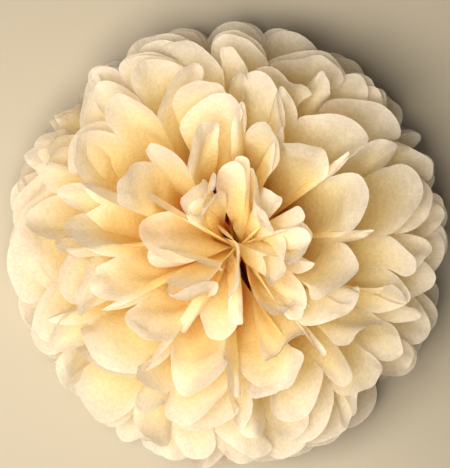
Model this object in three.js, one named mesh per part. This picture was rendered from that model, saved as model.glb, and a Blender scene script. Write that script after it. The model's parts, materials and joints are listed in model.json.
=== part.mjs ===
/**
 * Tissue paper pom pom: a stack of thin sheets, accordion-folded together, tied round the
 * middle, trimmed round at both ends, fanned out and pulled apart sheet by sheet.
 *
 * Frame: millimetres, +Z along the flower axis and away from the surface it lies on. The folded
 * strip runs along X through the tie, so each sheet has one half fan round +X and one round -X,
 * and the free side edges of the two fans face each other along Y.
 *
 * A sheet is one folded piece. Every point of a half fan is placed by its fold coordinate q
 * (0 to PANELS across the folds) and its distance u from the tie, at an azimuth and an elevation
 * that rises from sheet to sheet, so the pleats nest inside each other and never touch.
 */
import * as THREE from 'three';
import { mergeVertices } from 'three/addons/utils/BufferGeometryUtils.js';

// ---- the sheets ---------------------------------------------------------------------------
const PANELS = 13;              // panels of the accordion fold on each side of the tie
const PANEL_WIDTH = 39;         // mm across one panel, between two folds
const FAN_LENGTH = 181;         // mm from the end of the waist to a petal's tip
const NOTCH_DEPTH = 27;         // mm from a petal's tip back to the notch between two petals
const SEAM_HALF_GAP = 0.8;      // mm from the seam's middle to the free edge of a fan, at the tips
const ROWS = [0, 20, 62, 106, FAN_LENGTH - NOTCH_DEPTH];   // mm from the waist, along the folds
// the rounded end of a panel: share of its width, and mm back from the tip
const TIP_OUTLINE = [[0.1, 11], [0.33, 1.6], [0.67, 1.6], [0.9, 11]];

// mean elevation of each sheet in degrees, from the back of the pom pom to its bud
const ELEVATIONS = [-6, -1, 4, 10, 17, 26, 37, 48, 60, 72];

// slow waves that turn and lift the petals: [radians, per radian of elevation, of azimuth, phase]
const TURN_WAVES = [[0.07, 4.1, 2.3, 0.4], [0.04, -6.7, 4.1, 2.6], [0.015, 9.3, -6.2, 5.1]];
const LIFT_WAVES = [[0.03, 2.1, 3.7, 1.3], [0.018, -3.3, 7.9, 4.4]];
const WAVE_ROWS = [25, 130];    // mm, where the waves begin and where they are full

const PLEAT_LIMIT = 17;         // degrees, the furthest a fold rises over or drops below the mean
const POLE_LIMIT = 87.5;        // degrees, no fold leans past the flower axis
const SHEET_THICKNESS = 0.5;    // mm square to the paper, before the limits below
const WAIST_THICKNESS = 0.6;    // mm at the tie
const MAX_THICKNESS = 2;        // mm measured along the elevation

// ---- the waist and its tie -----------------------------------------------------------------
const WAIST_HALF_LENGTH = 4.5;    // mm along X, from the tie to where the fans start
const WAIST_HALF_WIDTH = 5;     // mm along Y, the gathered pleats
const WAIST_PITCH = 0.95;       // mm from one sheet to the next at the waist
const WAIST_HEIGHT = 24;        // mm from the surface to the lowest sheet's waist
const LAND_HALF_WIDTH = 0.06;   // of a panel, the pressed flat of a fold that lies on the surface
const LAND_START_ROW = 2;       // the row from which the lowest sheet lies on the surface

const WIRE_RADIUS = 0.5;        // mm
const TIE_RADIUS = 8.1;         // mm, centre line of the loop
const TWIST_RADIUS = 0.68;      // mm, centre line of each end round the other
const TWIST_PITCH = 5.5;        // mm along the tail for one full turn
const TWIST_TURNS = 2;

// ---- colours -------------------------------------------------------------------------------
const PAPER_COLOUR = 0xefe0c4;
const WIRE_COLOUR = 0xb9b9b4;

const RAD = Math.PI / 180;

/** A repeatable value from -1 to 1 for a whole number. */
function scatter(n) {
  const s = Math.sin(n * 12.9898 + 4.1414) * 43758.5453;
  return (s - Math.floor(s)) * 2 - 1;
}

/** The azimuth of a fan's free edge, which closes in on its other half towards the tips. */
function edgeAngle(sheet, u) {
  const elevation = Math.min(ELEVATIONS[sheet], 60) * RAD;
  const closing = (WAIST_HALF_LENGTH - SEAM_HALF_GAP) / (FAN_LENGTH * Math.cos(elevation));
  const start = -0.03;
  return Math.PI / 2 + start + (Math.asin(closing) - start) * Math.min(1, u / ROWS[2]);
}

/** Azimuth of the fold coordinate q on one side: the shared spread plus a little scatter. */
function azimuth(sheet, side, q, u) {
  const fold = Math.round(q);
  const shared = 1.2 * scatter(fold * 3.7 + side * 17 + 5);
  const own = 0.2 * scatter(sheet * 31 + fold * 7.3 + side * 3);
  const edge = fold === 0 || fold === PANELS ? 0 : 1;
  return edgeAngle(sheet, u) * ((2 * q) / PANELS - 1) + edge * (shared + own) * RAD;
}

/** The distance between two neighbouring folds at distance u from the waist. */
function foldSpacing(sheet, u) {
  const around = u * Math.cos(ELEVATIONS[sheet] * RAD) * 2 * edgeAngle(sheet, u);
  return (around + 2 * WAIST_HALF_WIDTH) / PANELS;
}

/** Half the rise and fall of a fold at distance u, as an angle, for paper of constant width. */
function pleatAngle(sheet, u) {
  if (u < 1e-6) return 0;
  const rise = Math.sqrt(Math.max(PANEL_WIDTH ** 2 - foldSpacing(sheet, u) ** 2, 16)) / 2;
  const room = Math.min(PLEAT_LIMIT, POLE_LIMIT - ELEVATIONS[sheet]) * RAD;
  return Math.min(Math.atan2(rise, u), room);
}

/** Thickness along the elevation, so that a steep panel still has its thickness square to it. */
function thickness(sheet, u) {
  if (u < 1e-6) return WAIST_THICKNESS;
  const slope = (2 * u * pleatAngle(sheet, u)) / foldSpacing(sheet, u);
  const along = SHEET_THICKNESS * Math.hypot(1, slope);
  const grow = Math.min(1, Math.max(0, (u - 10) / 50));
  return Math.min(WAIST_THICKNESS + (along - WAIST_THICKNESS) * grow, MAX_THICKNESS);
}

/** Turns and lifts a direction by the slow waves, which leave the seam and the waist alone. */
function waved(side, phi, elevation, u) {
  const t = Math.min(Math.max((u - WAVE_ROWS[0]) / (WAVE_ROWS[1] - WAVE_ROWS[0]), 0), 1);
  const across = Math.max(Math.cos(phi), 0) ** 0.6;
  const size = t * t * (3 - 2 * t) * across;
  const wave = ([amount, up, round, phase]) => amount
    * Math.sin(up * elevation + round * phi + phase + side * 1.7);
  const sum = (waves) => waves.reduce((total, w) => total + wave(w), 0);
  const low = Math.min(1, Math.max(0, elevation / 0.5));
  const high = Math.min(1, Math.max(0, (1.5 - elevation) / 0.5));
  const free = Math.min(1, Math.max(0.12, (1.4 - elevation) / 0.7));
  return [phi + size * free * sum(TURN_WAVES), elevation + size * low * high * sum(LIFT_WAVES)];
}

/**
 * A point of a half fan.
 * zig is +1 on a mountain fold, -1 on a valley fold and 0 between them; lift is a further
 * elevation in degrees; face is +1 on the upper side of the paper and -1 on the lower side.
 */
function fanPoint(sheet, side, q, u, zig, lift, face) {
  const height = WAIST_HEIGHT + WAIST_PITCH * (sheet + 1);
  const half = thickness(sheet, u) / 2;
  const y0 = -WAIST_HALF_WIDTH + (2 * WAIST_HALF_WIDTH * q) / PANELS;
  if (u < 1e-6) return [side * WAIST_HALF_LENGTH, y0, height + face * half];
  const straight = (ELEVATIONS[sheet] + lift) * RAD + zig * pleatAngle(sheet, u);
  let [phi, elevation] = waved(side, azimuth(sheet, side, q, u), straight, u);
  if (sheet === 0 && u >= ROWS[LAND_START_ROW]) {
    const lying = half / u - Math.asin(height / u);         // where the paper meets the surface
    elevation = zig === -1 ? lying : Math.max(elevation, lying);
  }
  elevation += (face * half) / u;
  const flat = u * Math.cos(elevation);
  return [
    side * (WAIST_HALF_LENGTH + flat * Math.cos(phi)),
    y0 + flat * Math.sin(phi),
    height + u * Math.sin(elevation),
  ];
}

/** Collects triangles, shared by both faces of a sheet and its rim. */
class Shell {
  constructor() {
    this.positions = [];
  }

  triangle(a, b, c, flip = false) {
    this.positions.push(...a, ...(flip ? c : b), ...(flip ? b : c));
  }

  quad(a, b, c, d, flip = false) {
    this.triangle(a, b, c, flip);
    this.triangle(a, c, d, flip);
  }

  geometry() {
    const geometry = new THREE.BufferGeometry();
    geometry.setAttribute('position', new THREE.Float32BufferAttribute(this.positions, 3));
    const merged = mergeVertices(geometry, 1e-4);
    merged.computeVertexNormals();
    return merged;
  }
}

/** The fold lines of one sheet: a plain crease, or the two edges of a pressed flat. */
function creases(sheet) {
  const lines = [];
  for (let fold = 0; fold <= PANELS; fold += 1) {
    const zig = fold % 2 === 0 ? 1 : -1;
    const inner = fold > 0 && fold < PANELS;
    if (sheet === 0 && zig === -1 && inner) {
      lines.push({ q: fold - LAND_HALF_WIDTH, zig }, { q: fold + LAND_HALF_WIDTH, zig });
    } else {
      lines.push({ q: fold, zig });
    }
  }
  return lines;
}

/** How far a petal's own tip rises, in degrees: the bud's curl in, the back's hang out. */
function tipLift(sheet, side, panel) {
  const curl = -1.5 + (5 * sheet) / (ELEVATIONS.length - 1);
  return curl + 1.1 * scatter(sheet * 57 + panel * 13 + side * 29);
}

/** One half fan: pleated panels, each with its own rounded end. */
function addHalfFan(shell, sheet, side) {
  const lines = creases(sheet);
  const last = ROWS.length - 1;
  const at = (line, row, face) => fanPoint(sheet, side, line.q, ROWS[row], line.zig, 0, face);

  for (let i = 0; i + 1 < lines.length; i += 1) {
    const [left, right] = [lines[i], lines[i + 1]];
    const land = left.zig === right.zig;
    const panel = Math.floor((left.q + right.q) / 2);
    const lift = tipLift(sheet, side, panel);
    const inside = (s, u, rise, face) => fanPoint(
      sheet, side, left.q + (right.q - left.q) * s, u,
      left.zig + (right.zig - left.zig) * s, rise, face);
    const tips = TIP_OUTLINE.map(([s, back]) => (
      (face) => inside(s, FAN_LENGTH - back, lift * (1 - back / NOTCH_DEPTH), face)));

    for (const face of [1, -1]) {
      const flip = (face === 1) === (side === -1);
      const strips = land ? last : last - 1;
      for (let row = 0; row < strips; row += 1) {
        shell.quad(at(left, row, face), at(left, row + 1, face),
          at(right, row + 1, face), at(right, row, face), flip);
      }
      if (land) continue;
      const hub = inside(0.5, ROWS[last] - 2, lift * 0.3 - 0.8, face);
      const rim = [
        at(left, last - 1, face), at(left, last, face),
        ...tips.map((tip) => tip(face)),
        at(right, last, face), at(right, last - 1, face),
      ];
      for (let k = 0; k < rim.length; k += 1) {
        shell.triangle(hub, rim[k], rim[(k + 1) % rim.length], flip);
      }
    }

    const ends = land
      ? [(f) => at(left, last, f), (f) => at(right, last, f)]
      : [
        (f) => at(left, last, f),
        ...tips,
        (f) => at(right, last, f),
      ];
    for (let k = 0; k + 1 < ends.length; k += 1) {
      shell.quad(ends[k](1), ends[k](-1), ends[k + 1](-1), ends[k + 1](1), side === -1);
    }
  }

  for (const [line, flip] of [[lines[0], side === -1], [lines[lines.length - 1], side === 1]]) {
    for (let row = 0; row < last; row += 1) {
      shell.quad(at(line, row, 1), at(line, row, -1),
        at(line, row + 1, -1), at(line, row + 1, 1), flip);
    }
  }
}

/** The gathered waist between the two half fans. */
function addWaist(shell, sheet) {
  const lines = creases(sheet);
  const at = (side, line, face) => fanPoint(sheet, side, line.q, 0, line.zig, 0, face);
  for (let i = 0; i + 1 < lines.length; i += 1) {
    for (const face of [1, -1]) {
      shell.quad(at(-1, lines[i], face), at(1, lines[i], face),
        at(1, lines[i + 1], face), at(-1, lines[i + 1], face), face === -1);
    }
  }
  for (const [line, flip] of [[lines[0], false], [lines[lines.length - 1], true]]) {
    shell.quad(at(-1, line, 1), at(-1, line, -1), at(1, line, -1), at(1, line, 1), flip);
  }
}

/** One tissue sheet, from tip to tip through the waist. */
function makeSheet(sheet) {
  const shell = new Shell();
  addWaist(shell, sheet);
  addHalfFan(shell, sheet, 1);
  addHalfFan(shell, sheet, -1);
  const material = new THREE.MeshStandardMaterial({
    color: PAPER_COLOUR, roughness: 0.85, metalness: 0, side: THREE.DoubleSide,
  });
  const mesh = new THREE.Mesh(shell.geometry(), material);
  mesh.name = `sheet_${String(sheet + 1).padStart(2, '0')}`;
  return mesh;
}

/** The tie: one wire round the waist, its two ends twisted round each other below it. */
function makeTie() {
  const middle = WAIST_HEIGHT + WAIST_PITCH * (ELEVATIONS.length + 1) / 2;
  const tail = TWIST_PITCH * TWIST_TURNS;
  const top = middle - TIE_RADIUS - 1.2;
  const points = [];
  const steps = 8;
  for (let k = TWIST_TURNS * steps; k >= 0; k -= 1) {
    const turn = (k / steps) * 2 * Math.PI;
    points.push(new THREE.Vector3(TWIST_RADIUS * Math.sin(turn), TWIST_RADIUS * Math.cos(turn),
      top - (tail * k) / (TWIST_TURNS * steps)));
  }
  for (let k = 1; k < 20; k += 1) {
    const turn = (0.045 + (0.91 * k) / 20) * 2 * Math.PI;
    points.push(new THREE.Vector3(0, TIE_RADIUS * Math.sin(turn),
      middle - TIE_RADIUS * Math.cos(turn)));
  }
  for (let k = 0; k <= TWIST_TURNS * steps; k += 1) {
    const turn = (k / steps) * 2 * Math.PI + Math.PI;
    points.push(new THREE.Vector3(TWIST_RADIUS * Math.sin(turn), TWIST_RADIUS * Math.cos(turn),
      top - (tail * k) / (TWIST_TURNS * steps)));
  }
  const section = new THREE.Shape();
  section.absarc(0, 0, WIRE_RADIUS, 0, 2 * Math.PI, false);
  const geometry = new THREE.ExtrudeGeometry(section, {
    steps: 64, curveSegments: 3, bevelEnabled: false,
    extrudePath: new THREE.CatmullRomCurve3(points, false, 'centripetal'),
  });
  const mesh = new THREE.Mesh(geometry, new THREE.MeshStandardMaterial({
    color: WIRE_COLOUR, roughness: 0.4, metalness: 1,
  }));
  mesh.name = 'tie_wire';
  return mesh;
}

/** The whole pom pom, with its origin under the middle of its box, on the surface it lies on. */
function makePomPom() {
  const group = new THREE.Group();
  ELEVATIONS.forEach((_, sheet) => group.add(makeSheet(sheet)));
  group.add(makeTie());
  const box = new THREE.Box3().setFromObject(group);
  const middle = box.getCenter(new THREE.Vector3());
  for (const mesh of group.children) mesh.position.set(-middle.x, -middle.y, -box.min.z);
  return group;
}

export default makePomPom();
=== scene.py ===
"""Tissue paper pom pom: the fine surface, the studio and the camera.

Ten folded tissue sheets are fanned round a thin wire tie. Each sheet is one surface whose
points are placed by their place on the flat paper: across the folds and along them. Lengths
are in millimetres until a sheet's mesh is made, and in metres from there on.
"""

import json
import logging
import math
from dataclasses import dataclass, field

import bmesh
import bpy
import numpy as np
from mathutils import Matrix, Vector

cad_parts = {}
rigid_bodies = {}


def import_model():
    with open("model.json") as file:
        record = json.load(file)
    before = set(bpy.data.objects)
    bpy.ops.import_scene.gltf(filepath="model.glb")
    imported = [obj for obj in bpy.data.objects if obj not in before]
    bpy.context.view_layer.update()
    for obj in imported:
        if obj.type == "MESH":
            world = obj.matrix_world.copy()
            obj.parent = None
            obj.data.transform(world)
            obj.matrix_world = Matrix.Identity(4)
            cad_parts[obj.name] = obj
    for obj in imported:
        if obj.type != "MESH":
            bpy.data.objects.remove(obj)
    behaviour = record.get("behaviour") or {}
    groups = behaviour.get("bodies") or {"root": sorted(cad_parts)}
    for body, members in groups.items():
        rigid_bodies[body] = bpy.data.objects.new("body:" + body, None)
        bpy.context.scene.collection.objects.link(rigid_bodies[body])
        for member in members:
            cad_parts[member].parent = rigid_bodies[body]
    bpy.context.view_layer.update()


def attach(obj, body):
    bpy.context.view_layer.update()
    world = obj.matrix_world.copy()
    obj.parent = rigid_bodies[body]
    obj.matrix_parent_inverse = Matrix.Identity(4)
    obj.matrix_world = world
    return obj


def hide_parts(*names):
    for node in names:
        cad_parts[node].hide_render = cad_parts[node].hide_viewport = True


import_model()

LOG = logging.getLogger("pom_pom")
MM = 0.001
QUARTER_TURN = 0.5 * math.pi


def smooth(value: np.ndarray, start: float, end: float) -> np.ndarray:
    """A smooth step.

    Args:
        value: Where to read it.
        start: The value at which it is 0.
        end: The value at which it is 1.

    Returns:
        The step, from 0 to 1.
    """
    t = np.clip((np.asarray(value, float) - start) / (end - start), 0.0, 1.0)
    return t * t * (3.0 - 2.0 * t)


# ------------------------------------------------------------------------------------------
# The folded paper
# ------------------------------------------------------------------------------------------
@dataclass(frozen=True)
class FoldPlan:
    """The sizes that all the sheets share, in millimetres.

    Attributes:
        panels: Number of panels in the accordion fold.
        panel_width: Width of each panel.
        fan_length: Length of a half fan from its waist to its petals' tips.
        notch: Depth of the round cut at the folds.
        waist_half_length: Half the length of the straight part under the tie.
        waist_half_width: Half the width of the gathered waist.
        waist_pitch: Height from one sheet's waist to the next one's.
        waist_height: Height of the waists' foot.
        seam_half_gap: Half the gap between the two half fans at their tips.
        seam_start: Turn of a fan's free edge at the waist, in radians.
        seam_length: Distance from the waist at which that edge meets the seam.
        columns: Mesh columns in each panel.
        rows: Mesh rows from the waist to the tips.
        path_points: Points of the path that each column is bent along.
    """

    panels: int = 13
    panel_width: float = 39.0
    fan_length: float = 181.0
    notch: float = 27.0
    waist_half_length: float = 4.5
    waist_half_width: float = 5.0
    waist_pitch: float = 0.95
    waist_height: float = 24.0
    seam_half_gap: float = 0.8
    seam_start: float = -0.03
    seam_length: float = 62.0
    columns: int = 16
    rows: int = 46
    path_points: int = 73

    @property
    def flat(self) -> tuple[float, float]:
        """The size of the sheet before it was folded, in metres."""
        length = 2.0 * (self.fan_length + self.waist_half_length)
        return (self.panels * self.panel_width * MM, length * MM)

    @property
    def cut_area(self) -> float:
        """The area of the sheet with its ends trimmed round.

        Returns:
            The area in square metres.
        """
        width, length = self.flat
        trimmed = 2 * self.panels * self.panel_width * self.notch * (1 - math.pi / 4)
        return width * length - trimmed * MM * MM


PLAN = FoldPlan()


@dataclass(frozen=True)
class Reaches:
    """Where along a petal each habit sets in and is complete, in millimetres from the waist.

    Attributes:
        pinch: Where the bases stop leaning in over the tie.
        raised: A petal's own rise.
        bow: The bow from base to tip.
        turned: The slow waves that turn the petals sideways.
        lapped: The lift of the petals that lap over the other half fan.
        seam: The turn of those petals.
        open: The opening of the folds.
        cup: The panels' bulge.
        crinkle: The crinkles of handled tissue.
        outer: The twist and lean of the ends, which are complete at the tip.
        tip: The bend of the tips.
        curl_end: Where the curl is complete, past the tip, so it goes on to the edge.
        rounded: Where the round cut frees the petals' sides, in notches back from the tip.
    """

    pinch: tuple = (15.0, 75.0)
    raised: tuple = (10.0, 80.0)
    bow: tuple = (20.0, 181.0)
    turned: tuple = (25.0, 130.0)
    lapped: tuple = (30.0, 90.0)
    seam: tuple = (45.0, 140.0)
    open: tuple = (45.0, 150.0)
    cup: tuple = (50.0, 125.0)
    crinkle: tuple = (50.0, 140.0)
    outer: float = 100.0
    tip: tuple = (135.0, 185.0)
    curl_end: float = 205.0
    rounded: float = 1.6


REACH = Reaches()


@dataclass(frozen=True)
class SheetStyle:
    """The habit of one sheet.

    Attributes:
        elevation: Mean rise of its petals in degrees.
        bend: How far the petals bow up in degrees from their base to their tips.
        curl: Mean bend of the petals' outer halves in degrees, plus towards the bud.
        curl_spread: How much that differs from petal to petal, in degrees.
        curl_start: Where along the petal that bend starts, in millimetres.
        step: Degrees to the next sheet above.
        tip: Mean bend of the last third of the petals in degrees.
        tip_spread: How much that differs from petal to petal, in degrees.
        twist: How much the petals' ends twist, in millimetres at their edges.
        closed: Share of the petals whose tips fold in over the bud.
        closed_tip: How far those tips bend, in degrees.
        pinch: How far the bases lean in over the tie, in degrees.
        uneven: How much the petals differ in rise, in degrees.
    """

    elevation: float
    bend: float
    curl: float
    curl_spread: float
    curl_start: float
    step: float
    tip: float = -4.0
    tip_spread: float = 20.0
    twist: float = 7.0
    closed: float = 0.0
    closed_tip: float = 90.0
    pinch: float = 0.0
    uneven: float = 3.0

    @property
    def rise(self) -> float:
        """The elevation in radians."""
        return math.radians(self.elevation)

    def mean_angle(self, steps: np.ndarray) -> np.ndarray:
        """The rise of the sheet's middle path.

        Args:
            steps: Distances from the waist in millimetres.

        Returns:
            The rise at each in radians.
        """
        level_at = 0.4
        bow = self.bend * (smooth(steps, *REACH.bow) - level_at)
        lean = self.pinch * (1.0 - smooth(steps, *REACH.pinch))
        return np.radians(self.elevation + bow + lean)

    @property
    def tuck(self) -> float:
        """How far every second panel is tucked behind its neighbours.

        It is least where the petals have room to lie open, and most in the bud, whose
        panels would be folded to slits if they all lay side by side.

        Returns:
            The tuck in fold spacings.
        """
        step, petal_length, open_width = 2.0, 154.0, 37.0
        least, most = 0.06, 1.3
        path = self.mean_angle(np.arange(0.0, petal_length, step))
        reach = float(np.sum(np.cos(path))) * step
        even = reach * math.pi / PLAN.panels + 2 * PLAN.waist_half_width / PLAN.panels
        return min(max((open_width / even - 1.0) / 2.0, least), most)


@dataclass(frozen=True)
class Looseness:
    """How far the petals of a hand-opened pom pom stray from even.

    The values named own are what a sheet adds to the poses that it shares with the sheet
    that it lies on. Bends are in degrees and lengths in millimetres.

    Attributes:
        slow_points: Points of the slow wave in the petals' curl.
        slow_share: Share of the curl's spread that the slow wave has.
        quick_share: Share of it that differs from petal to petal.
        kept_bend: Share of its own bend that a closed tip keeps.
        sway: Sideways lean of the petals' ends.
        own_twist: A sheet's own twist.
        own_sway: Its own lean.
        own_raised: Its own rise.
        own_curl: Its own curl.
        own_tip: Its own bend of the tips.
        tucked_from: The tuck from which every second panel hides behind its neighbours.
        tucked_curl: How much less a hidden panel curls than its neighbours.
        tucked_tip: How much less its tip bends.
        tucked_raised: How much lower it lies.
        tuck_range: Least and most of the sheet's tuck that one fold has.
        loose_fold: Stray of the folds in a sheet with no tuck, in fold spacings.
        loose_tuck: What the tuck adds to that.
        open_range: Least and most of its rise that a fold keeps at the tips.
        hollow_share: Share of the petals that are hollow towards the bud.
        hollow_range: Their bulge.
        bulged_range: The other petals' bulge.
        crease: Mean and spread of how sharp a petal's middle fold is.
        crease_stray: How far that fold strays from the middle, as a share.
        fold_curl: How much the folds' curl strays from the panels'.
    """

    slow_points: int = 5
    slow_share: float = 0.7
    quick_share: float = 0.7
    kept_bend: float = 0.4
    sway: float = 8.5
    own_twist: float = 2.0
    own_sway: float = 2.5
    own_raised: float = 1.0
    own_curl: float = 3.0
    own_tip: float = 6.0
    tucked_from: float = 0.3
    tucked_curl: float = 4.0
    tucked_tip: float = 6.0
    tucked_raised: float = 1.0
    tuck_range: tuple = (0.6, 1.1)
    loose_fold: float = 0.12
    loose_tuck: float = 0.5
    open_range: tuple = (0.25, 0.8)
    hollow_share: float = 0.9
    hollow_range: tuple = (-1.0, -0.55)
    bulged_range: tuple = (0.2, 0.6)
    crease: tuple = (0.35, 0.45)
    crease_stray: float = 0.35
    fold_curl: float = 4.0


LOOSE = Looseness()


@dataclass
class PetalPoses:
    """How the panels and folds of one half fan lie: one value for each.

    Attributes:
        spread: Turn of each fold from its even place, as a share of the fold spacing.
        open: Share of its full rise that each fold keeps at the tips.
        cup: Bulge of each panel, -1 hollow towards the bud to +1 hollow towards the back.
        crease: How sharp the fold along the middle of each panel is, 0 to 1.
        crease_at: Where that fold runs across the panel, -1 to 1.
        curl: Bend of each panel's outer half in degrees, plus towards the bud.
        fold_curl: Bend of each fold's outer half in degrees.
        tip: Bend of each panel's last third in degrees, plus towards the bud.
        roll: Twist of each panel's end, in millimetres at its edge.
        sway: Sideways lean of each panel's end, in millimetres.
        raised: How much each panel rises over the sheet's mean, in degrees.
    """

    spread: np.ndarray
    open: np.ndarray
    cup: np.ndarray
    crease: np.ndarray
    crease_at: np.ndarray
    curl: np.ndarray
    fold_curl: np.ndarray
    tip: np.ndarray
    roll: np.ndarray
    sway: np.ndarray
    raised: np.ndarray

    @classmethod
    def scattered(cls, rng: np.random.Generator, own: np.random.Generator,
                  style: SheetStyle) -> "PetalPoses":
        """Draws a half fan's poses.

        Args:
            rng: The seeded generator that sheets lying together share.
            own: The sheet's own seeded generator.
            style: The sheet's habit.

        Returns:
            The poses.
        """
        n = PLAN.panels
        knots = LOOSE.slow_points
        slow = np.interp(np.arange(n), np.linspace(0, n - 1, knots), rng.normal(0.0, 1.0, knots))
        stray = LOOSE.slow_share * slow + LOOSE.quick_share * rng.normal(0.0, 1.0, n)
        curl = style.curl + style.curl_spread * stray
        tip = rng.normal(style.tip, style.tip_spread, n)
        closed = rng.random(n) < style.closed
        tip = np.where(closed, style.closed_tip + LOOSE.kept_bend * tip, tip)
        roll = rng.normal(0.0, style.twist, n) + own.normal(0.0, LOOSE.own_twist, n)
        sway = rng.normal(0.0, LOOSE.sway, n) + own.normal(0.0, LOOSE.own_sway, n)
        raised = rng.normal(0.0, style.uneven, n) + own.normal(0.0, LOOSE.own_raised, n)
        curl = curl + own.normal(0.0, LOOSE.own_curl, n)
        tip = tip + own.normal(0.0, LOOSE.own_tip, n)

        tucked = (np.arange(n) % 2 == 1) & (style.tuck > LOOSE.tucked_from)
        curl = np.where(tucked, cls.beside(curl) - LOOSE.tucked_curl, curl)
        lower = np.minimum(np.roll(tip, 1), np.roll(tip, -1))
        tip = np.where(tucked, lower - LOOSE.tucked_tip, tip)
        roll, sway = np.where(tucked, 0.0, roll), np.where(tucked, 0.0, sway)
        raised = np.where(tucked, cls.beside(raised) - LOOSE.tucked_raised, raised)

        inner = 0.5 * (curl[1:] + curl[:-1])
        tuck = style.tuck * rng.uniform(*LOOSE.tuck_range, n + 1)
        swing = np.where(np.arange(n + 1) % 2 == 1, 1.0, -1.0)
        loose = LOOSE.loose_fold + LOOSE.loose_tuck * style.tuck
        spread = swing * tuck + rng.uniform(-loose, loose, n + 1)
        spread[0] = spread[-1] = 0.0
        return cls(
            spread=spread,
            open=rng.uniform(*LOOSE.open_range, n + 1),
            cup=np.where(rng.random(n) < LOOSE.hollow_share,
                         rng.uniform(*LOOSE.hollow_range, n),
                         rng.uniform(*LOOSE.bulged_range, n)),
            crease=np.clip(rng.normal(*LOOSE.crease, n), 0.0, 1.0),
            crease_at=rng.uniform(-LOOSE.crease_stray, LOOSE.crease_stray, n),
            curl=curl,
            fold_curl=(np.concatenate([[curl[0]], inner, [curl[-1]]])
                       + rng.normal(0, LOOSE.fold_curl, n + 1)),
            tip=tip,
            roll=roll,
            sway=sway,
            raised=raised,
        )

    @staticmethod
    def beside(values: np.ndarray) -> np.ndarray:
        """The mean of each panel's two neighbours."""
        return 0.5 * (np.roll(values, 1) + np.roll(values, -1))


@dataclass(frozen=True)
class PaperGrid:
    """Where the mesh points of a half fan are on the flat paper.

    Attributes:
        panel: The panel of each column.
        x: The place of each column across its panel, -1 to 1.
        t: The place of each row, 0 at the waist to 1 at the tips.
        u: The distance of each point from the waist in millimetres.
    """

    panel: np.ndarray
    x: np.ndarray
    t: np.ndarray
    u: np.ndarray

    @classmethod
    def laid_out(cls, plan: FoldPlan) -> "PaperGrid":
        """Lays out the points, closer together near the folds, up to the round cut.

        Args:
            plan: The sheet's sizes.

        Returns:
            The grid.
        """
        n = plan.columns
        panel = np.append(np.repeat(np.arange(plan.panels), n), plan.panels - 1)
        x = np.append(np.tile(-np.cos(np.pi * np.arange(n) / n), plan.panels), 1.0)
        t = np.linspace(0.0, 1.0, plan.rows + 1)[:, None]
        back = plan.notch * (1.0 - np.sqrt(np.maximum(1.0 - x * x, 0.0)))
        return cls(panel=panel, x=x, t=t, u=t * plan.fan_length - back * t ** 3)

    @property
    def s(self) -> np.ndarray:
        """The place of each column across its panel, 0 to 1."""
        return (self.x + 1.0) / 2.0

    @property
    def q(self) -> np.ndarray:
        """The place of each column across the sheet, in panels."""
        return self.panel + self.s


@dataclass(frozen=True)
class SlowWave:
    """One slow wave in the directions of the petals.

    Attributes:
        size: Its size in radians.
        by_rise: How fast it changes with the sheet's elevation.
        by_azimuth: How fast it changes with the azimuth.
        start: Its phase in radians.
    """

    size: float
    by_rise: float
    by_azimuth: float
    start: float


TURN_WAVES = (SlowWave(0.12, 4.1, 2.3, 0.4), SlowWave(0.07, -6.7, 4.1, 2.6),
              SlowWave(0.03, 9.3, -6.2, 5.1))
LIFT_WAVES = (SlowWave(0.10, 2.1, 3.7, 1.3), SlowWave(0.06, -3.3, 7.9, 4.4))


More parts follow.
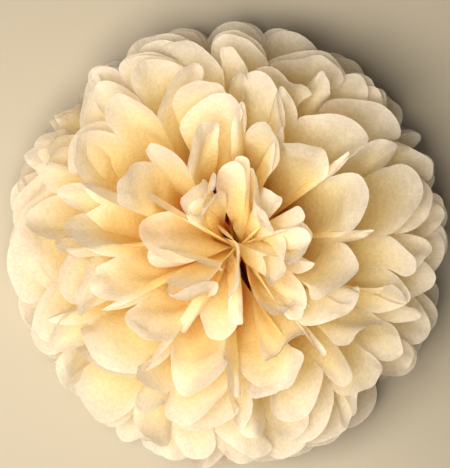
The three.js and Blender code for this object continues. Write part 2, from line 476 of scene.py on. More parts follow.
@dataclass
class HalfFan:
    """One half fan of a sheet, from the tie to its petals' tips.

    Attributes:
        side: +1 or -1, the side of the tie along X.
        height: The height of the sheet's waist in millimetres.
        style: The sheet's habit.
        poses: How its petals lie.
        plan: The sheet's sizes.
        grid: Where its points are on the flat paper.
        steps: Distances from the waist along the middle path.
        mean: The rise of that path at each step, in radians.
        rho: How far out from the waist the path has come at each point.
        share: The direction of each fold as a share of the fan's half opening, -1 to 1.
        edge: The azimuth of the fan's free edge at each point.
    """

    side: int
    height: float
    style: SheetStyle
    poses: PetalPoses
    plan: FoldPlan = PLAN
    grid: PaperGrid = field(init=False)
    steps: np.ndarray = field(init=False)
    mean: np.ndarray = field(init=False)
    rho: np.ndarray = field(init=False)
    share: np.ndarray = field(init=False)
    edge: np.ndarray = field(init=False)

    def __post_init__(self) -> None:
        """Works out the middle path and the directions of the folds."""
        p = self.plan
        self.grid = PaperGrid.laid_out(p)
        self.steps = np.linspace(0.0, p.fan_length, p.path_points)
        self.mean = self.style.mean_angle(self.steps)
        between = np.cos(0.5 * (self.mean[1:] + self.mean[:-1]))
        base = np.concatenate([[0.0], np.cumsum(between * self.steps[1])])
        self.rho = np.maximum(np.interp(self.grid.u, self.steps, base), 0.5)
        spacing = 2.0 / p.panels
        self.share = np.arange(p.panels + 1) * spacing - 1.0 + self.poses.spread * spacing
        self.edge = self.edge_angle(self.grid.u)

    def edge_angle(self, u: np.ndarray) -> np.ndarray:
        """The azimuth of the fan's free edge.

        Args:
            u: Distances from the waist in millimetres.

        Returns:
            The azimuth at each in radians.
        """
        p, steepest = self.plan, 60.0
        low = math.radians(min(self.style.elevation, steepest))
        closing = (p.waist_half_length - p.seam_half_gap) / (p.fan_length * math.cos(low))
        turn = math.asin(closing) - p.seam_start
        return QUARTER_TURN + p.seam_start + turn * np.clip(u / p.seam_length, 0, 1)

    def wave(self, waves: tuple, phi: np.ndarray) -> np.ndarray:
        """A slow wave in the directions of the petals, as a real pom pom's fans are uneven.

        Args:
            waves: Its terms.
            phi: Azimuths in radians.

        Returns:
            The turn or lift in radians.
        """
        rise, between_sides = self.style.rise, 1.7
        upright, fading, least, narrowing = 1.5, 0.7, 0.25, 0.6
        free = min(max((upright - rise) / fading, least), 1.0)
        total = sum(w.size * np.sin(w.by_rise * rise + w.by_azimuth * phi + w.start
                                    + self.side * between_sides) for w in waves)
        return free * total * np.maximum(np.cos(phi), 0.0) ** narrowing

    def crinkle(self, rng: np.random.Generator, across: np.ndarray) -> np.ndarray:
        """Soft unevenness of handled tissue.

        Args:
            rng: The seeded generator.
            across: Place across the folds in millimetres.

        Returns:
            Height off the smooth surface in millimetres.
        """
        sizes, least = (0.9, 0.7, 0.5, 0.4, 0.3, 0.25), 0.4
        widths, lengths = (20.0, 60.0), (35.0, 90.0)
        total = 0.0
        for size in sizes:
            wide = 2 * math.pi / (rng.uniform(*widths) * (least + size))
            long = 2 * math.pi / (rng.uniform(*lengths) * (least + size))
            turn = rng.uniform(0.0, 2 * math.pi)
            slant = rng.choice((-1, 1)) * long * self.grid.u
            total = total + size * np.sin(wide * across + slant + turn)
        return total

    def fold_gap(self, index: np.ndarray) -> np.ndarray:
        """The sideways distance between a panel's two folds.

        Args:
            index: The panel of each column.

        Returns:
            The distance at each point, below 0 where the panel lies back over the last one.
        """
        p = self.plan
        index = np.clip(index, 0, p.panels - 1)
        step = self.share[index + 1] - self.share[index]
        return self.rho * self.edge * step + 2 * p.waist_half_width / p.panels

    def fold_rise(self, fold: np.ndarray) -> np.ndarray:
        """The rise of a fold over the middle of the pleats.

        Args:
            fold: The fold of each column.

        Returns:
            The rise at each point in millimetres.
        """
        p, u = self.plan, self.grid.u
        steepest, upright, least_square = 17.0, 87.5, 16.0
        gap = 0.5 * (self.fold_gap(fold - 1) + self.fold_gap(fold))
        full = np.sqrt(np.maximum(p.panel_width ** 2 - gap ** 2, least_square)) / 2.0
        keep = 1.0 + (self.poses.open[fold] - 1.0) * smooth(u, *REACH.open)
        limit = math.radians(min(steepest, upright - self.style.elevation))
        swing = np.where(fold % 2 == 0, 1.0, -1.0)
        return swing * np.minimum(full * keep, u * math.tan(limit))

    def panel_section(self, across: np.ndarray,
                      drop: np.ndarray) -> tuple[np.ndarray, np.ndarray]:
        """The cross section of the panels between their folds.

        A panel that lies back over its neighbour is given a flat S instead of a bulge.

        Args:
            across: The sideways distance between the panel's two folds.
            drop: The rise from its left fold to its right fold.

        Returns:
            The sideways and the upward push off the straight line between the folds.
        """
        p, g = self.plan, self.grid
        deepest, shallow, blunt = 0.30, 0.4, 0.012
        chord = np.sqrt(across ** 2 + drop ** 2)
        slack = np.maximum(p.panel_width / np.maximum(chord, 4.0) - 1.0, 0.0)
        size = np.minimum(chord * np.sqrt(0.375 * slack), deepest * p.panel_width)
        size = size * smooth(g.u, *REACH.cup) * self.poses.cup[g.panel]
        sharp, at = self.poses.crease[g.panel], self.poses.crease_at[g.panel]
        beside = (g.x - at) / np.where(g.x > at, 1.0 - at, 1.0 + at)
        ridge = 1.06 - np.sqrt(beside ** 2 + blunt)
        profile = (1.0 - sharp) * (1.0 - g.x * g.x) + sharp * ridge
        size = np.where(across > 0.0, size, shallow * np.abs(size))
        profile = np.where(across > 0.0, profile, -np.sin(np.pi * (g.x + 1.0)))
        chord = np.maximum(chord, 1.0)
        return -size * profile * drop / chord, size * profile * across / chord

    def relief(self, rng: np.random.Generator,
               own: np.random.Generator) -> tuple[np.ndarray, np.ndarray]:
        """The pleats, the petals' bulges and the crinkles, off the middle path.

        Args:
            rng: The seeded generator that sheets lying together share.
            own: The sheet's own seeded generator.

        Returns:
            The sideways and the upward push of each point in millimetres.
        """
        p, g, poses = self.plan, self.grid, self.poses
        ruffle_height, ruffle_from, coarse, fine = 0.7, 0.82, 0.31, 0.47
        left, right = self.fold_rise(g.panel), self.fold_rise(g.panel + 1)
        push, lift = self.panel_section(self.fold_gap(g.panel), right - left)
        lift = lift + left + (right - left) * g.s
        free = (1.0 - g.x * g.x) + g.x * g.x * smooth(g.u, p.fan_length - p.notch, p.fan_length)
        outer = smooth(g.u, REACH.outer, p.fan_length)
        lift = lift + poses.roll[g.panel] * g.x * free * outer
        paper = g.q * p.panel_width
        lift = lift + self.crinkle(rng, paper) * smooth(g.u, *REACH.crinkle)
        ruffle = (np.sin(coarse * paper + own.uniform(0, 6))
                  + np.sin(fine * paper + own.uniform(0, 6)))
        lift = lift + ruffle_height * ruffle * smooth(g.t, ruffle_from, 1.0)
        return push + poses.sway[g.panel] * free * outer, lift

    def bends(self, nominal: np.ndarray, lap: np.ndarray) -> np.ndarray:
        """The rise of each column's own path at each step.

        Args:
            nominal: The azimuth of each column, before it is turned.
            lap: How near each column is to the seam, where the two half fans lap.

        Returns:
            The angles in radians (steps, columns).
        """
        g, poses, steps = self.grid, self.poses, self.steps
        middle, at_edge = 1.0 - g.x * g.x, g.x * g.x
        stiff_side, lap_share = 0.4, 0.27
        at_fold = np.where(g.x < 0, poses.fold_curl[g.panel], poses.fold_curl[g.panel + 1])
        curl = np.radians(middle * poses.curl[g.panel] + at_edge * at_fold)
        tip = np.radians(poses.tip[g.panel] * (1.0 - stiff_side * g.x * g.x))
        beside = np.clip(g.panel + np.where(g.x < 0, -1, 1), 0, self.plan.panels - 1)
        shared = 0.5 * (poses.raised[g.panel] + poses.raised[beside])
        raised = (self.wave(LIFT_WAVES, nominal)
                  + np.radians(middle * poses.raised[g.panel] + at_edge * shared))
        lapped = -self.side * lap * math.radians(lap_share * self.style.step)
        curl_reach = smooth(steps, self.style.curl_start, REACH.curl_end)
        return (self.mean[:, None] + curl * curl_reach[:, None]
                + tip * smooth(steps, *REACH.tip)[:, None]
                + raised * smooth(steps, *REACH.raised)[:, None]
                + lapped * smooth(steps, *REACH.lapped)[:, None])

    def bowed(self, angle: np.ndarray, lift: np.ndarray) -> tuple[np.ndarray, np.ndarray]:
        """Bends each column along its own path, in the plane of its azimuth.

        Args:
            angle: The rise of each column's path at each step.
            lift: The push of each point off that path.

        Returns:
            How far out and how far up each point comes, in millimetres.
        """
        g, steps, ds = self.grid, self.steps, self.steps[1]
        mid = 0.5 * (angle[1:] + angle[:-1])
        run = np.vstack([np.zeros(len(g.x)), np.cumsum(np.cos(mid) * ds, axis=0)])
        climb = np.vstack([np.zeros(len(g.x)), np.cumsum(np.sin(mid) * ds, axis=0)])
        out, up, lean = (np.stack([np.interp(g.u[:, j], steps, table[:, j])
                                   for j in range(len(g.x))], axis=1)
                         for table in (run, climb, angle))
        return out - lift * np.sin(lean), up + lift * np.cos(lean)

    def azimuths(self, nominal: np.ndarray, lap: np.ndarray,
                 push: np.ndarray) -> tuple[np.ndarray, np.ndarray]:
        """The directions of the points.

        Args:
            nominal: The azimuth of each column, before it is turned.
            lap: How near each column is to the seam.
            push: The sideways push of each point.

        Returns:
            The azimuth of each point's foot on the middle path, and the one in which it
            bows out from there, in radians.
        """
        p, u, share = self.plan, self.grid.u, self.share
        panel, s = self.grid.panel, self.grid.s
        seam_turn, widest_rise, narrowest = 0.085, 1.1, 16.0
        turned = (self.wave(TURN_WAVES, nominal) * smooth(u, *REACH.turned)
                  + np.sign(nominal) * lap * smooth(u, *REACH.seam) * seam_turn
                  / math.cos(min(self.style.rise, widest_rise)))
        first = self.edge * share[panel] + turned
        last = self.edge * share[panel + 1] + turned
        centre = 0.5 * (first + last)
        phi = first + (last - first) * s + push / np.maximum(self.rho, narrowest)
        rounded = smooth(u, p.fan_length - REACH.rounded * p.notch, p.fan_length)
        held = np.abs(self.grid.x) ** 1.5 * (1.0 - rounded)
        return phi, centre + (phi - centre) * held

    def points(self, rng: np.random.Generator, own: np.random.Generator) -> np.ndarray:
        """Places every point.

        Args:
            rng: The seeded generator that sheets lying together share.
            own: The sheet's own seeded generator.

        Returns:
            Points (rows, columns, 3) in millimetres.
        """
        p, g, rho = self.plan, self.grid, self.rho
        floor_gap, seam_only = 0.35, 7
        push, lift = self.relief(rng, own)
        folds = self.share[g.panel] + (self.share[g.panel + 1] - self.share[g.panel]) * g.s
        nominal = QUARTER_TURN * folds
        lap = np.abs(nominal / QUARTER_TURN) ** seam_only
        out, up = self.bowed(self.bends(nominal, lap), lift)
        phi, aim = self.azimuths(nominal, lap, push)
        along = p.waist_half_length + rho * np.cos(phi) + (out - rho) * np.cos(aim)
        beside = ((2.0 * g.q / p.panels - 1.0) * p.waist_half_width + rho * np.sin(phi)
                  + (out - rho) * np.sin(aim))
        return np.stack([self.side * along, beside, np.maximum(self.height + up, floor_gap)],
                        axis=-1)

    def paper(self) -> np.ndarray:
        """Says where the points are on the paper.

        Returns:
            For each point its place on the flat paper and its distance to the cut edge
            (rows, columns, 3), in millimetres.
        """
        p, g = self.plan, self.grid
        return np.stack([np.broadcast_to(g.q * p.panel_width, g.u.shape),
                         self.side * (g.u + p.waist_half_length),
                         (1.0 - g.t) * p.fan_length + 0 * g.u], axis=-1)


@dataclass
class TissueSheet:
    """One folded sheet of tissue, from tip to tip through the tie.

    Attributes:
        number: 1 for the back sheet to 10 for the bud's.
        style: Its habit.
        seed: The seed of its petals' poses.
        own_seeds: What its number is added to for its own seed.
        plan: Its sizes.
        obj: Its object, once it is built.
    """

    number: int
    style: SheetStyle
    seed: int
    own_seeds: int = 900
    plan: FoldPlan = PLAN
    obj: bpy.types.Object | None = field(default=None, repr=False)

    @property
    def name(self) -> str:
        """The name of the piece."""
        return f"tissue_{self.number:02d}"

    @property
    def node(self) -> str:
        """The name of the solid that this sheet stands for."""
        return f"sheet_{self.number:02d}"

    @property
    def height(self) -> float:
        """The height of the sheet's waist in millimetres."""
        return self.plan.waist_height + self.plan.waist_pitch * self.number

    def build(self) -> bpy.types.Object:
        """Makes the sheet's mesh, with its place on the paper as UVs and its rim's distance.

        Returns:
            The object.
        """
        rng = np.random.default_rng(self.seed)
        own = np.random.default_rng(self.own_seeds + self.number)
        halves = []
        for side in (1, -1):
            fan = HalfFan(side, self.height, self.style,
                          PetalPoses.scattered(rng, own, self.style), self.plan)
            halves.append((fan.points(rng, own), fan.paper()))
        (right, flat_right), (left, flat_left) = halves
        points = np.concatenate([left[::-1], right]).reshape(-1, 3) * MM
        flat = np.concatenate([flat_left[::-1], flat_right]).reshape(-1, 3) * MM

        columns = self.plan.panels * self.plan.columns
        rows = 2 * self.plan.rows + 1
        bm = bmesh.new()
        layer = bm.loops.layers.uv.new("paper")
        rim = bm.verts.layers.float.new("rim")
        bmesh.ops.create_grid(bm, x_segments=columns, y_segments=rows, size=0.5)
        order = sorted(bm.verts, key=lambda v: (round((v.co.y + 0.5) * rows),
                                                round((v.co.x + 0.5) * columns)))
        place = {}
        for vert, where, paper in zip(order, points, flat):
            vert.co = Vector(where)
            vert[rim] = float(paper[2])
            place[vert] = (float(paper[0]), float(paper[1]))
        for face in bm.faces:
            face.smooth = True
            for loop in face.loops:
                loop[layer].uv = place[loop.vert]
        mesh = bpy.data.meshes.new(self.name)
        bm.to_mesh(mesh)
        bm.free()
        self.obj = bpy.data.objects.new(self.name, mesh)
        bpy.context.scene.collection.objects.link(self.obj)
        return self.obj

    def dress(self, material: bpy.types.Material) -> None:
        """Args:
            material: The paper.
        """
        self.obj.data.materials.append(material)
        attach(self.obj, "root")
        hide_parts(self.node)


# ------------------------------------------------------------------------------------------
# Finishes
# ------------------------------------------------------------------------------------------
class NodeKit:
    """Adds and joins shader nodes in one tree."""

    def __init__(self, tree: bpy.types.NodeTree) -> None:
        """Starts on an empty tree."""
        self.tree = tree
        tree.nodes.clear()

    def add(self, kind: str, **settings: object) -> bpy.types.Node:
        """Adds a node.

        Args:
            kind: Its type, without the ShaderNode in front unless it is a group's end.
            settings: Its properties.

        Returns:
            The node.
        """
        name = kind if kind.startswith("Node") else f"ShaderNode{kind}"
        node = self.tree.nodes.new(name)
        for key, value in settings.items():
            setattr(node, key, value)
        return node

    def link(self, a: bpy.types.NodeSocket, b: bpy.types.NodeSocket) -> None:
        """Joins an output to an input."""
        self.tree.links.new(a, b)

    def math(self, operation: str, a: object, b: object = 0.0) -> bpy.types.NodeSocket:
        """Adds a Math node on two sockets or numbers.

        Args:
            operation: What it does.
            a: The first socket or number.
            b: The second.

        Returns:
            Its output.
        """
        node = self.add("Math", operation=operation)
        for socket, value in zip(node.inputs, (a, b)):
            if isinstance(value, (int, float)):
                socket.default_value = value
            else:
                self.link(value, socket)
        return node.outputs[0]

    def remap(self, value: bpy.types.NodeSocket, source: tuple,
              target: tuple) -> bpy.types.NodeSocket:
        """Maps a value from one range to another, smoothly and clamped.

        Args:
            value: The value.
            source: Its range.
            target: What the ends of that range become.

        Returns:
            The mapped value.
        """
        node = self.add("MapRange", interpolation_type="SMOOTHSTEP", clamp=True)
        self.link(value, node.inputs[0])
        for socket, number in zip(list(node.inputs)[1:5], (*source, *target)):
            socket.default_value = number
        return node.outputs[0]

    def blend(self, mask: bpy.types.NodeSocket, a: object,
              b: object) -> bpy.types.NodeSocket:
        """Blends from one colour to another.

        Args:
            mask: 0 for the first and 1 for the second.
            a: The first colour or its socket.
            b: The second.

        Returns:
            The blended colour.
        """
        node = self.add("Mix", data_type="RGBA")
        self.link(mask, node.inputs[0])
        for socket, value in ((node.inputs[6], a), (node.inputs[7], b)):
            if isinstance(value, tuple):
                socket.default_value = value
            else:
                self.link(value, socket)
        return node.outputs[2]

    def shade(self, colour: bpy.types.NodeSocket,
              value: bpy.types.NodeSocket) -> bpy.types.NodeSocket:
        """Multiplies a colour by a value.

        Args:
            colour: The colour.
            value: What each of its channels is multiplied by.

        Returns:
            The shaded colour.
        """
        node = self.add("Mix", data_type="RGBA", blend_type="MULTIPLY")
        node.inputs[0].default_value = 1.0
        self.link(colour, node.inputs[6])
        grey = self.add("CombineColor")
        for socket in list(grey.inputs)[:3]:
            self.link(value, socket)
        self.link(grey.outputs[0], node.inputs[7])
        return node.outputs[2]

    def noise(self, place: bpy.types.NodeSocket, scale: float, detail: float,
              stretch: tuple = (1.0, 1.0, 1.0)) -> bpy.types.NodeSocket:
        """Adds a stretched noise.

        Args:
            place: The coordinates.
            scale: How fine it is.
            detail: How many finer layers it has.
            stretch: What the coordinates are multiplied by.

        Returns:
            Its value.
        """
        mapping = self.add("Mapping")
        mapping.inputs["Scale"].default_value = stretch
        self.link(place, mapping.inputs[0])
        node = self.add("TexNoise")
        node.inputs["Scale"].default_value = scale
        node.inputs["Detail"].default_value = detail
        node.inputs["Roughness"].default_value = 0.6
        self.link(mapping.outputs[0], node.inputs["Vector"])
        return node.outputs[0]


@dataclass(frozen=True)
class TissueFinish:
    """Thin ivory tissue with painted light: painted highlight at the tips and the cut edge,
    and painted amber glow and shade towards the middle, where many layers lie together.

    Reaches are in metres, from the cut edge for the edge and tip highlights, and from the
    middle of the flower for the painted glow and the painted shade of the innermost folds.

    Attributes:
        edge: Painted highlight on the cut edge, where thin paper catches the light.
        tip: Colour of the petals' tips, whiter than the body as a painted highlight.
        body: Colour of the petals.
        painted_heart_glow: Painted amber glow and shade towards the middle, where light has
            passed through many layers.
        painted_deep_shade: Painted shade in the deepest folds.
        edge_highlight_reach: Where the painted edge highlight begins to fade and where it ends.
        edge_highlight_share: How much of the painted edge highlight shows.
        tip_highlight_reach: Where the tips' painted highlight begins to fade and where it ends.
        heart_glow_reach: Where the painted glow begins to fade and where it ends.
        deep_shade_reach: Where the painted shade begins to fade and where it ends.
        middle: The middle of the flower.
        mottle: Least and most brightness of the paper's mottle.
        through: Share of the light that passes diffusely through the paper.
        clear: Share that passes straight through.
        roughness: Roughness of its surface.
        specular: How much it shines.
        bump: Strength of its wrinkles.
        bump_height: Their height in metres.
    """

    # edge and tip carry painted highlight, the amber towards the middle is painted glow and
    # shade, and the redder colour of the innermost folds is painted shade
    edge: tuple = (1.0, 0.96, 0.86, 1.0)
    tip: tuple = (0.96, 0.89, 0.83, 1.0)
    body: tuple = (0.99, 0.87, 0.53, 1.0)
    painted_heart_glow: tuple = (1.0, 0.69, 0.14, 1.0)
    painted_deep_shade: tuple = (1.0, 0.20, 0.03, 1.0)
    edge_highlight_reach: tuple = (0.0003, 0.0022)
    edge_highlight_share: float = 0.55
    tip_highlight_reach: tuple = (-0.01, 0.045)
    heart_glow_reach: tuple = (0.06, 0.165)
    deep_shade_reach: tuple = (0.045, 0.11)
    middle: tuple = (0.0, 0.0, 0.03)
    mottle: tuple = (0.90, 1.04)
    through: float = 0.5
    clear: float = 0.15
    roughness: float = 0.82
    specular: float = 0.25
    bump: float = 0.5
    bump_height: float = 0.0012

    @staticmethod
    def grain() -> bpy.types.NodeTree:
        """The tissue's fibres, mottle and wrinkles as a group.

        Returns:
            The group, which puts out a mottle for the colour and a height for the bump.
        """
        name = "tissue_grain"
        if name in bpy.data.node_groups:
            return bpy.data.node_groups[name]
        tree = bpy.data.node_groups.new(name, "ShaderNodeTree")
        sockets = tree.interface
        sockets.new_socket("Paper", in_out="INPUT", socket_type="NodeSocketVector")
        sockets.new_socket("Mottle", in_out="OUTPUT", socket_type="NodeSocketFloat")
        sockets.new_socket("Height", in_out="OUTPUT", socket_type="NodeSocketFloat")
        kit = NodeKit(tree)
        paper = kit.add("NodeGroupInput").outputs[0]
        end = kit.add("NodeGroupOutput")

        cloud = kit.noise(paper, 260.0, 2.0)
        fibre = kit.noise(paper, 900.0, 0.0, (1.0, 0.35, 1.0))
        wrinkle = kit.noise(paper, 55.0, 3.0, (1.0, 0.45, 1.0))
        folds = kit.noise(paper, 75.0, 1.0, (1.0, 0.6, 1.0))
        mottle = kit.math("ADD", kit.math("MULTIPLY", cloud, 0.6),
                          kit.math("MULTIPLY", fibre, 0.4))
        sharp = kit.math("ABSOLUTE", kit.math("SUBTRACT", folds, 0.5))
        height = kit.math("ADD", wrinkle, kit.math("MULTIPLY", sharp, 1.6))
        height = kit.math("ADD", height, kit.math("MULTIPLY", fibre, 0.12))
        height = kit.math("ADD", height, kit.math("MULTIPLY", cloud, 0.12))
        kit.link(mottle, end.inputs[0])
        kit.link(height, end.inputs[1])
        return tree

    def colour(self, kit: NodeKit, mottle: bpy.types.NodeSocket) -> bpy.types.NodeSocket:
        """The paper's colour and painted light, from its cut edge to the middle of the flower.

        Args:
            kit: The material's nodes.
            mottle: The grain's mottle.

        Returns:
            The colour.
        """
        fading = (1.0, 0.0)
        place = kit.add("TexCoord")
        centred = kit.add("VectorMath", operation="DISTANCE")
        centred.inputs[1].default_value = self.middle
        kit.link(place.outputs["Object"], centred.inputs[0])
        distance = centred.outputs["Value"]
        rim = kit.add("Attribute", attribute_name="rim").outputs["Fac"]
        # painted highlight: the petals whiten towards their cut tips
        made = kit.blend(kit.remap(rim, self.tip_highlight_reach, fading), self.body, self.tip)
        # painted amber glow and shade towards the middle of the flower
        made = kit.blend(kit.remap(distance, self.heart_glow_reach, fading), made, self.painted_heart_glow)
        # painted shade, darker and redder, in the innermost folds near the middle
        made = kit.blend(kit.remap(distance, self.deep_shade_reach, fading), made, self.painted_deep_shade)
        # painted highlight along the cut edge
        edge_highlight_mask = kit.remap(rim, self.edge_highlight_reach, (self.edge_highlight_share, 0.0))
        made = kit.blend(edge_highlight_mask, made, self.edge)
        return kit.shade(made, kit.remap(mottle, (0.3, 0.7), self.mottle))

    def material(self) -> bpy.types.Material:
        """Makes the paper.

        Returns:
            The material.
        """
        made = bpy.data.materials.new("ivory_tissue")
        made.use_nodes = True
        kit = NodeKit(made.node_tree)
        paper = kit.add("UVMap", uv_map="paper")
        grain = kit.add("Group")
        grain.node_tree = self.grain()
        kit.link(paper.outputs[0], grain.inputs[0])
        colour = self.colour(kit, grain.outputs["Mottle"])

        bump = kit.add("Bump")
        bump.inputs["Strength"].default_value = self.bump
        bump.inputs["Distance"].default_value = self.bump_height
        kit.link(grain.outputs["Height"], bump.inputs["Height"])

        face = kit.add("BsdfPrincipled")
        face.inputs["Roughness"].default_value = self.roughness
        face.inputs["Specular IOR Level"].default_value = self.specular
        kit.link(colour, face.inputs["Base Color"])
        kit.link(bump.outputs[0], face.inputs["Normal"])
        behind = kit.add("BsdfTranslucent")
        kit.link(colour, behind.inputs["Color"])
        kit.link(bump.outputs[0], behind.inputs["Normal"])
        thin = kit.add("MixShader")
        thin.inputs[0].default_value = self.through
        kit.link(face.outputs[0], thin.inputs[1])
        kit.link(behind.outputs[0], thin.inputs[2])
        clear = kit.add("BsdfTransparent")
        film = kit.add("MixShader")
        film.inputs[0].default_value = self.clear
        kit.link(thin.outputs[0], film.inputs[1])
        kit.link(clear.outputs[0], film.inputs[2])
        end = kit.add("OutputMaterial")
        kit.link(film.outputs[0], end.inputs[0])
        return made


@dataclass(frozen=True)
class WireFinish:
    """Dull bare wire.

    Attributes:
        colour: Its colour.
        fineness: Scale of its tarnish.
        roughness: Least and most roughness of its tarnish.
    """

    colour: tuple = (0.55, 0.54, 0.52, 1.0)
    fineness: float = 700.0
    roughness: tuple = (0.28, 0.5)

    def material(self) -> bpy.types.Material:
        """Makes the wire's metal, with a little tarnish.

        Returns:
            The material.
        """
        made = bpy.data.materials.new("bare_wire")
        made.use_nodes = True
        kit = NodeKit(made.node_tree)
        place = kit.add("TexCoord")
        tarnish = kit.add("TexNoise")
        tarnish.inputs["Scale"].default_value = self.fineness
        kit.link(place.outputs["Object"], tarnish.inputs["Vector"])
        face = kit.add("BsdfPrincipled")
        face.inputs["Metallic"].default_value = 1.0
        face.inputs["Base Color"].default_value = self.colour
        kit.link(kit.remap(tarnish.outputs[0], (0.3, 0.7), self.roughness),
                 face.inputs["Roughness"])
        end = kit.add("OutputMaterial")
        kit.link(face.outputs[0], end.inputs[0])
        return made


@dataclass
class TieWire:
    """The wire round the waist, which keeps the solid's own shape."""

    node: str = "tie_wire"

    def dress(self, material: bpy.types.Material) -> None:
        """Gives the wire its metal.

        Args:
            material: The metal.
        """
        for piece in bpy.data.objects:
            if piece.name.startswith(self.node):
                piece.data.materials.clear()
                piece.data.materials.append(material)


# ------------------------------------------------------------------------------------------
# Studio
# ------------------------------------------------------------------------------------------
@dataclass(frozen=True)
class SoftLight:
    """A soft square light that faces the flower.

    Attributes:
        name: Its name.
        place: Where it is, in metres.
        size: Its side in metres.
        power: Its power in watts.
        colour: Its colour.
        target: What it faces, in metres.
    """

    name: str
    place: tuple
    size: float
    power: float
    colour: tuple
    target: tuple = (0.0, 0.0, 0.08)

    def build(self) -> bpy.types.Object:
        """Makes the light.

        Returns:
            The object.
        """
        data = bpy.data.lights.new(self.name, "AREA")
        data.shape = "SQUARE"
        data.size = self.size
        data.energy = self.power
        data.color = self.colour
        obj = bpy.data.objects.new(self.name, data)
        obj.location = self.place
        aim = Vector(self.target) - Vector(self.place)
        obj.rotation_euler = aim.to_track_quat("-Z", "Y").to_euler()
        bpy.context.scene.collection.objects.link(obj)
        return obj


@dataclass
class Studio:
    """The pale floor, the soft lights and the camera that looks down on the flower.

    Attributes:
        floor_size: Side of the floor in metres.
        floor_colour: Colour of the floor.
        floor_roughness: Its roughness.
        lamps: The soft lights.
        surround: Colour of the soft surround.
        surround_strength: Its strength.
        distance: Height of the camera in metres.
        lean: How far it stands to the frame's right of the axis, in metres.
        rise: How far it stands up the frame from the axis, in metres.
        roll: Turn of the frame's up from +Y, in degrees clockwise.
        lens: Its focal length in millimetres.
        sensor: Its width in millimetres.
    """

    floor_size: float = 6.0
    floor_colour: tuple = (0.50, 0.44, 0.35, 1.0)
    floor_roughness: float = 0.9
    lamps: tuple = (
        SoftLight("key", (-1.38, 0.25, 1.0), 0.7, 10.0, (1.0, 0.95, 0.85)),
        SoftLight("front", (-0.22, -0.04, 0.8), 0.4, 8.6, (1.0, 0.94, 0.80)),
    )
    surround: tuple = (0.95, 0.93, 0.90, 1.0)
    surround_strength: float = 0.09
    distance: float = 1.05
    lean: float = -0.066
    rise: float = 0.009
    roll: float = 19.0
    lens: float = 97.0
    sensor: float = 36.0

    def floor(self) -> None:
        """Makes the floor."""
        mesh = bpy.data.meshes.new("floor")
        bm = bmesh.new()
        bmesh.ops.create_grid(bm, x_segments=1, y_segments=1, size=self.floor_size / 2)
        bm.to_mesh(mesh)
        bm.free()
        obj = bpy.data.objects.new("floor", mesh)
        bpy.context.scene.collection.objects.link(obj)
        made = bpy.data.materials.new("pale_floor")
        made.use_nodes = True
        face = made.node_tree.nodes["Principled BSDF"]
        face.inputs["Base Color"].default_value = self.floor_colour
        face.inputs["Roughness"].default_value = self.floor_roughness
        mesh.materials.append(made)

    def lights(self) -> None:
        """Adds the lights and the soft surround."""
        for lamp in self.lamps:
            lamp.build()
        world = bpy.data.worlds.new("studio")
        world.use_nodes = True
        back = world.node_tree.nodes["Background"]
        back.inputs[0].default_value = self.surround
        back.inputs[1].default_value = self.surround_strength
        bpy.context.scene.world = world
        bpy.context.scene.view_settings.view_transform = "Standard"

    def camera(self) -> None:
        """Adds the camera, turned so that the seam runs down to the right of the frame."""
        data = bpy.data.cameras.new("camera")
        data.lens = self.lens
        data.sensor_fit = "HORIZONTAL"
        data.sensor_width = self.sensor
        obj = bpy.data.objects.new("camera", data)
        turn = math.radians(self.roll)
        up = Vector((math.sin(turn), math.cos(turn), 0.0))
        across = Vector((math.cos(turn), -math.sin(turn), 0.0))
        place = across * self.lean + up * self.rise + Vector((0.0, 0.0, self.distance))
        obj.location = place
        aim = up * self.rise - place
        right = aim.cross(up).normalized()
        axes = Matrix((right, right.cross(aim).normalized(), -aim.normalized()))
        obj.rotation_euler = axes.transposed().to_euler()
        bpy.context.scene.collection.objects.link(obj)
        bpy.context.scene.camera = obj

    def build(self) -> None:
        """Makes the whole studio."""
        self.floor()
        self.lights()
        self.camera()


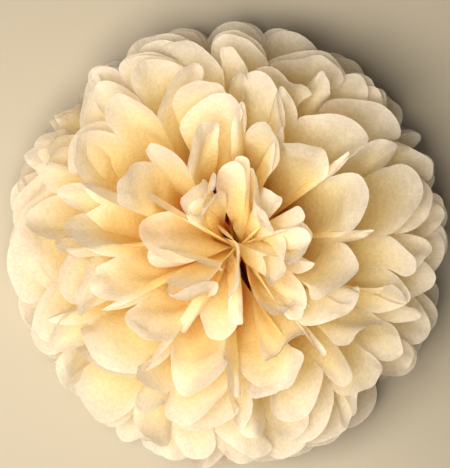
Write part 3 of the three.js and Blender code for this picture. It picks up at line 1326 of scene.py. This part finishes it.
# ------------------------------------------------------------------------------------------
# The pom pom
# ------------------------------------------------------------------------------------------
STYLES = (
    SheetStyle(elevation=-5.5, bend=2.0, curl=4.0, curl_spread=11.0, curl_start=95.0, step=5.0,
               twist=9.0, tip_spread=28.0),
    SheetStyle(elevation=-2.5, bend=3.0, curl=4.0, curl_spread=11.0, curl_start=95.0, step=5.0,
               twist=9.0, tip_spread=28.0),
    SheetStyle(elevation=6.0, bend=3.0, curl=4.0, curl_spread=12.0, curl_start=95.0, step=6.0,
               twist=9.0, tip_spread=28.0),
    SheetStyle(elevation=9.5, bend=4.0, curl=4.0, curl_spread=12.0, curl_start=95.0, step=7.0,
               twist=9.0, tip_spread=28.0),
    SheetStyle(elevation=20.0, bend=4.0, curl=3.0, curl_spread=12.0, curl_start=95.0, step=9.0,
               uneven=4.0),
    SheetStyle(elevation=24.0, bend=4.0, curl=3.0, curl_spread=12.0, curl_start=90.0, step=9.0,
               uneven=4.0),
    SheetStyle(elevation=36.0, bend=2.0, curl=2.0, curl_spread=14.0, curl_start=90.0, step=11.0,
               uneven=5.0),
    SheetStyle(elevation=47.0, bend=0.0, curl=0.0, curl_spread=15.0, curl_start=85.0, step=12.0,
               uneven=5.0),
    SheetStyle(elevation=58.0, bend=-10.0, curl=-2.0, curl_spread=16.0, curl_start=80.0,
               step=12.0, tip_spread=24.0, twist=8.0, closed=0.12, closed_tip=60.0, pinch=10.0,
               uneven=5.0),
    SheetStyle(elevation=69.0, bend=-36.0, curl=-4.0, curl_spread=22.0, curl_start=60.0,
               step=12.0, tip_spread=24.0, twist=7.0, closed=0.2, closed_tip=100.0, pinch=27.0,
               uneven=7.0),
)
# sheets that lie close together share a seed, so their petals nest
SEEDS = (40, 40, 42, 42, 44, 44, 46, 47, 48, 69)


def main() -> None:
    """Builds the studio and the pom pom, piece by piece."""
    logging.basicConfig(level=logging.INFO, format="%(name)s: %(message)s")
    Studio().build()
    paper = TissueFinish().material()
    for number, (style, seed) in enumerate(zip(STYLES, SEEDS), start=1):
        sheet = TissueSheet(number=number, style=style, seed=seed)
        sheet.build()
        sheet.dress(paper)
        LOG.info("%s: %d faces", sheet.name, len(sheet.obj.data.polygons))
    wire = TieWire()
    wire.dress(WireFinish().material())
    LOG.info("%s: the solid's own shape", wire.node)


if __name__ == "__main__":
    main()
